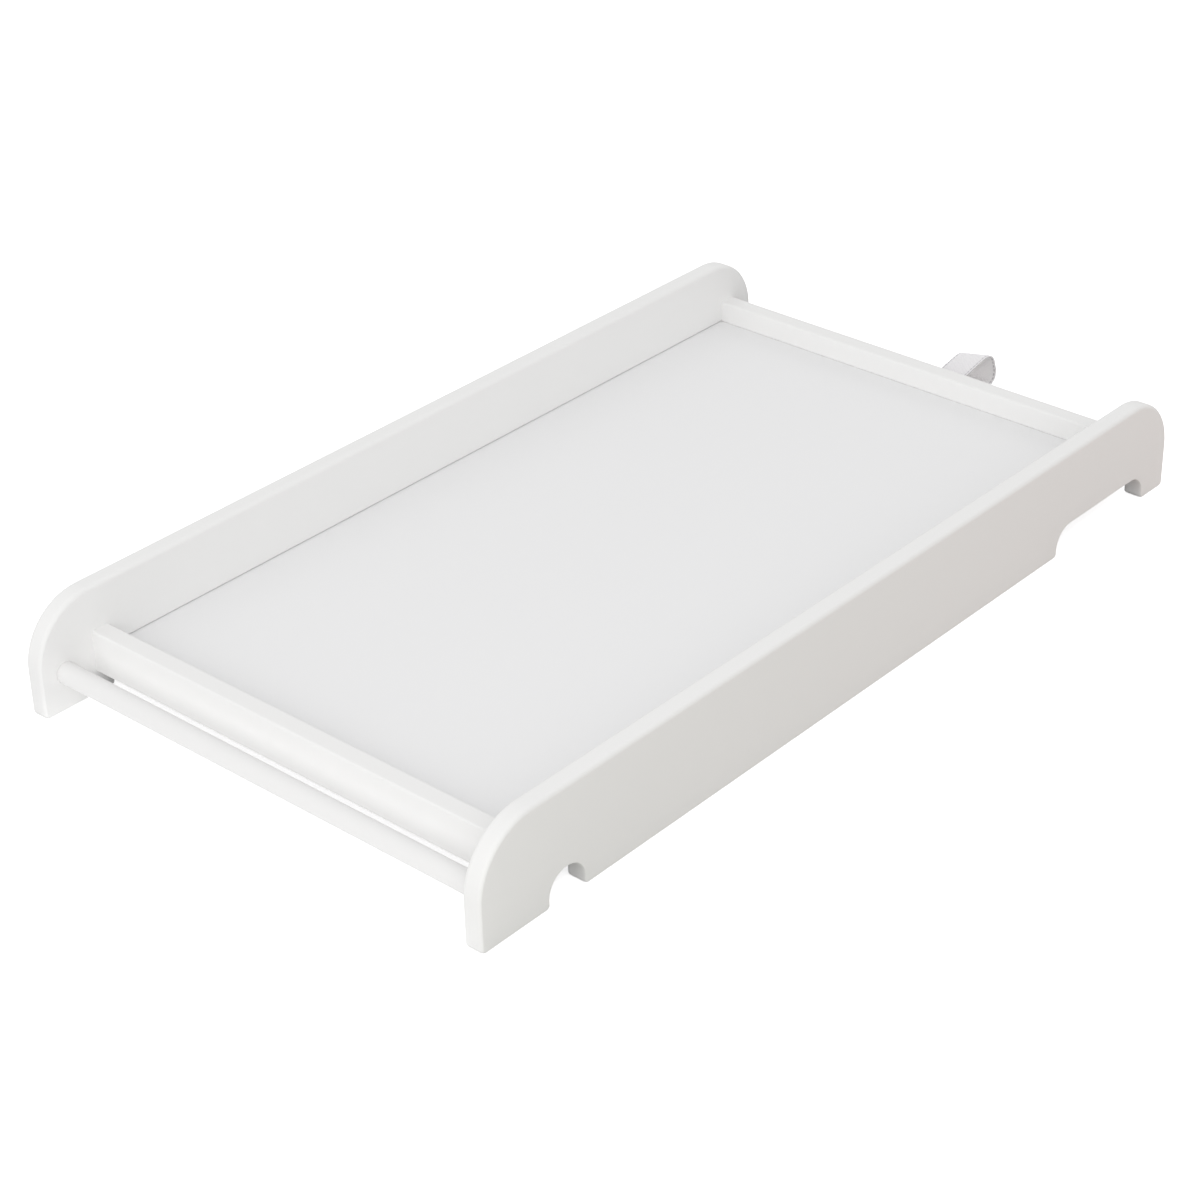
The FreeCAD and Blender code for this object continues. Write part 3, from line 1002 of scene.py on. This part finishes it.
@dataclass
class StrapFixing:
    """The pan-head screw and the washer that hold both plies of the strap under the rail."""

    head_round: float = 1.6 * MM
    cross_length: float = 4.6 * MM
    cross_width: float = 1.0 * MM
    cross_depth: float = 1.6 * MM
    cross_ease: float = 0.2 * MM
    washer_ease: float = 0.25 * MM
    eye_clearance: float = 0.3 * MM
    shank_radius: float = 2.0 * MM
    tip_length: float = 4.0 * MM
    tip_radius: float = 0.25 * MM
    steps: int = 48

    def cross(self, centre: Vector) -> list[Point2]:
        """The cross recess of the head.

        Args:
            centre: The middle of the head, in X and Y.
        Returns:
            The recess's outline.
        """
        long, short = self.cross_length / 2, self.cross_width / 2
        quarter = [(long, -short), (long, short), (short, short)]
        half = quarter + [(-v, u) for u, v in quarter]
        return rounded_outline([Corner(centre.x + u, centre.y + v, self.cross_ease)
                                for u, v in half + [(-u, -v) for u, v in half]])

    def build_screw(self, zinc: Material) -> Object:
        """Make the screw, head down.

        Args:
            zinc: Its finish.
        Returns:
            The finished piece.
        """
        node = "strap_screw"
        low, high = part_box(node)
        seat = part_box("strap_washer")[0].z
        centre, head = middle(node).xy, radius_of(node)
        draft = Draft(Lie.LEVEL)
        turns = [math.pi / 2 * step / LEAST_STEPS for step in range(LEAST_STEPS + 1)]
        stations = [(head - self.head_round * (1 - math.sin(turn)),
                     low.z + self.head_round * (1 - math.cos(turn))) for turn in turns]
        stations += [(head, seat), (self.shank_radius, seat), (self.shank_radius, high.z - self.tip_length),
                     (self.tip_radius, high.z)]
        rings = draft.turned(centre, stations, self.steps)
        draft.cover(rings[0], draft.recess(self.cross(centre), low.z, low.z + self.cross_depth))
        draft.cover(rings[-1])
        return dressed(draft.piece("zinc_strap_screw", zinc), Body.FRAME, Slot.ZINC, node)

    def build_washer(self, zinc: Material) -> Object:
        """Make the washer.

        Args:
            zinc: Its finish.
        Returns:
            The finished piece.
        """
        node = "strap_washer"
        low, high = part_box(node)
        outer, bore, ease = radius_of(node), self.shank_radius + self.eye_clearance, self.washer_ease
        stations = [(outer - ease, low.z), (outer, low.z + ease), (outer, high.z - ease),
                    (outer - ease, high.z), (bore, high.z), (bore, low.z)]
        draft = Draft(Lie.LEVEL)
        rings = draft.turned(middle(node).xy, stations, self.steps)
        draft.wall(rings[-1], rings[0])
        return dressed(draft.piece("zinc_strap_washer", zinc), Body.FRAME, Slot.ZINC, node)


@dataclass(frozen=True)
class Softbox:
    """A square lamp that faces the tray."""

    name: str
    place: Point3
    power: float
    size: float = 2.0

    def build(self, aim: Vector) -> None:
        """Hang the lamp.

        Args:
            aim: The point that it faces.
        """
        lamp = bpy.data.lights.new(self.name, "AREA")
        lamp.size = self.size
        lamp.energy = self.power
        hung = placed(self.name, lamp)
        hung.location = self.place
        hung.rotation_euler = (aim - Vector(self.place)).to_track_quat("-Z", "Y").to_euler()


@dataclass
class Studio:
    """A white floor under soft lamps, with a white surround."""

    floor_size: float = 12.0
    floor_white: Colour = (0.95, 0.95, 0.95)
    floor_bounce: Colour = (0.45, 0.45, 0.45)
    near_bounce: Colour = (0.52, 0.52, 0.475)
    far_bounce: Colour = (0.58, 0.49, 0.45)
    floor_lift: float = 0.68
    front_depth: float = 0.75
    front_width: float = 1.4
    front_glow: float = 0.22
    card_width: float = 0.075
    card_glow: float = 0.68
    ambient: float = 0.755
    lamps: tuple[Softbox, ...] = (
        Softbox("left_softbox", (-3.0, 0.2, 1.3), 17.7),
        Softbox("front_softbox", (-2.2, -2.2, 1.8), 23.0),
        Softbox("far_softbox", (3.0, -0.6, 1.6), 6.0),
        Softbox("back_softbox", (2.6, 1.8, 2.2), 6.0))

    def seen(self, tree: NodeTree) -> Value:
        """One on rays from the camera or by way of gloss and glass, and zero on the rest."""
        ray = tree.add("ShaderNodeLightPath", out="Is Camera Ray")
        return (ray + ray.other("Is Glossy Ray") + ray.other("Is Transmission Ray")).least(1.0)

    def card(self, spot: Value, end: float, depth: float, width: float) -> Value:
        """One on a bright card, laid on the floor on the towel end's side of a place along X."""
        beside = (spot > end - depth) * (1 - (spot > end))
        return beside * (width / 2 - abs(spot.other("Y")) > 0.0)

    def glow(self, spot: Value, seen: Value) -> Value:
        """How brightly the floor shines by itself.

        Args:
            spot: A place on the floor, by its X.
            seen: One on rays that see the floor, which is lifted to white for them.
        Returns:
            The brightness, with one card beside the towel-end rail and one before the panels' ends.
        """
        rail_low, rail_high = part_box("towel_end_rail")
        beside_rail = self.card(spot, rail_low.x, self.card_width, rail_high.y - rail_low.y)
        before_panels = self.card(spot, CAD_BOX[0][0], self.front_depth, self.front_width)
        cards = (self.card_glow * beside_rail).most(self.front_glow * before_panels)
        return (self.floor_lift * seen).most(cards)

    def bounce(self, surface: Surface, spot: Value) -> Value:
        """The tone that the floor gives back to the tray.

        Args:
            surface: The floor's tree.
            spot: A place on the floor, by its X.
        Returns:
            The tone, which is warmer along the right panel.
        """
        low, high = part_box("right_side_panel")
        share = (spot - low.x) / (high.x - low.x)
        beside = surface.blend(share, self.near_bounce, self.far_bounce)
        return surface.blend(low.y - spot.other("Y") > 0.0, self.floor_bounce, beside)

    def build_floor(self) -> None:
        """Lay the floor, which shows white and keeps the tray's shadow."""
        half = self.floor_size / 2
        data = bpy.data.meshes.new("floor")
        data.from_pydata([(-half, -half, 0), (half, -half, 0), (half, half, 0), (-half, half, 0)], [],
                         [(0, 1, 2, 3)])
        surface = Surface("floor_white")
        seen = self.seen(surface)
        spot = surface.split(surface.place)
        tone = surface.blend(seen, self.bounce(surface, spot), self.floor_white)
        glow = surface.grey(self.glow(spot, seen))
        shaders = {0: surface.add("ShaderNodeBsdfDiffuse", None, {"Color": tone}),
                   1: surface.add("ShaderNodeEmission", None, {"Color": glow})}
        surface.add("ShaderNodeOutputMaterial", None,
                    {"Surface": surface.add("ShaderNodeAddShader", None, shaders)})
        data.materials.append(surface.material)
        placed("floor", data)

    def build_world(self) -> None:
        """Surround the scene with white for the camera and a low even light for the rest."""
        world = bpy.data.worlds.new("surround")
        world.use_nodes = True
        bpy.context.scene.world = world
        tree = NodeTree(world.node_tree)
        strength = self.ambient + (1 - self.ambient) * self.seen(tree)
        white = (1.0, 1.0, 1.0, 1.0)
        light = tree.add("ShaderNodeBackground", None, {"Color": white, "Strength": strength})
        tree.add("ShaderNodeOutputWorld", None, {"Surface": light})

    def build(self) -> None:
        """Set up floor, surround and lamps."""
        self.build_floor()
        self.build_world()
        aim = middle("base_panel")
        for lamp in self.lamps:
            lamp.build(aim)
        bpy.context.scene.view_settings.view_transform = "Standard"


@dataclass(frozen=True)
class PhotoCamera:
    """The camera that the photograph was taken with, by its place, its turn and its focal length."""

    place: Point3 = (-1.54901, -1.34557, 1.21275)
    azimuth: float = -48.2907
    elevation: float = 30.7423
    roll: float = -1.2237
    focal_pixels: float = 2872.177
    frame_pixels: int = 1200
    reach: float = 100.0

    def build(self) -> None:
        """Set up the camera."""
        data = bpy.data.cameras.new("photo_camera")
        data.angle = 2 * math.atan(self.frame_pixels / 2 / self.focal_pixels)
        data.clip_end = self.reach
        camera = placed("photo_camera", data)
        stand = Matrix.Translation(self.place)
        for angle, axis in ((self.azimuth, "Z"), (90 - self.elevation, "X"), (self.roll, "Z")):
            stand = stand @ Matrix.Rotation(math.radians(angle), 4, axis)
        camera.matrix_world = stand
        bpy.context.scene.camera = camera


def main() -> None:
    """Build the camera, the finishes, every piece and the studio."""
    logging.basicConfig(level=logging.INFO, format="%(name)s: %(message)s")
    PhotoCamera().build()

    white, shade = (0.87, 0.867, 0.86), (0.855, 0.852, 0.845)
    long_paint = SatinPaint("white_paint_along_x", white, shade, Grain.ALONG_X).material()
    cross_paint = SatinPaint("white_paint_along_y", white, shade, Grain.ALONG_Y).material()
    # The towel rail takes a darker copy of the white paint: painted shade on the rail.
    shaded_bar_paint = SatinPaint("white_paint_turned_painted_shade", (0.84, 0.835, 0.83), (0.82, 0.815, 0.81),
                           Grain.ALONG_Y).material()
    board_paint = SatinPaint("white_board_paint", (0.86, 0.86, 0.863), (0.85, 0.85, 0.853), Grain.ALONG_X,
                             relief=0.08 * MM).material()
    # The inner cord colour is painted light on the shaded inside of the loop; the valley colour is painted
    # shade between the cords.
    tape = WovenTape("lavender_grey_webbing", cord=(0.90, 0.885, 0.91), painted_light_inner_cord=(0.97, 0.94, 0.92),
                     valley=(0.84, 0.82, 0.84), thread=(0.42, 0.40, 0.42)).material()
    beech = BareFinish("bare_beech", (0.72, 0.55, 0.36), (0.58, 0.41, 0.25), scale=900.0, detail=5.0,
                       roughness=0.55, rougher=0.2, relief=0.2 * MM, relief_strength=0.5,
                       stretch=Grain.ALONG_Y.value).material()
    zinc = BareFinish("zinc_plate", (0.74, 0.74, 0.73), (0.62, 0.62, 0.62), scale=400.0, detail=4.0,
                      roughness=0.28, rougher=0.16, relief=0.04 * MM, relief_strength=0.4,
                      metallic=1.0).material()

    joints = TrayJoints()
    for side in ("left", "right"):
        SidePanel(side, joints).build(long_paint)
    for end in ("towel", "strap"):
        CrossRail(end, joints).build(cross_paint)
    TrayBase().build(board_paint)
    TowelBar().build(shaded_bar_paint)
    JointDowels().build(beech)
    SafetyStrap().build(tape)
    fixing = StrapFixing()
    fixing.build_screw(zinc)
    fixing.build_washer(zinc)
    Studio().build()


if __name__ == "__main__":
    main()
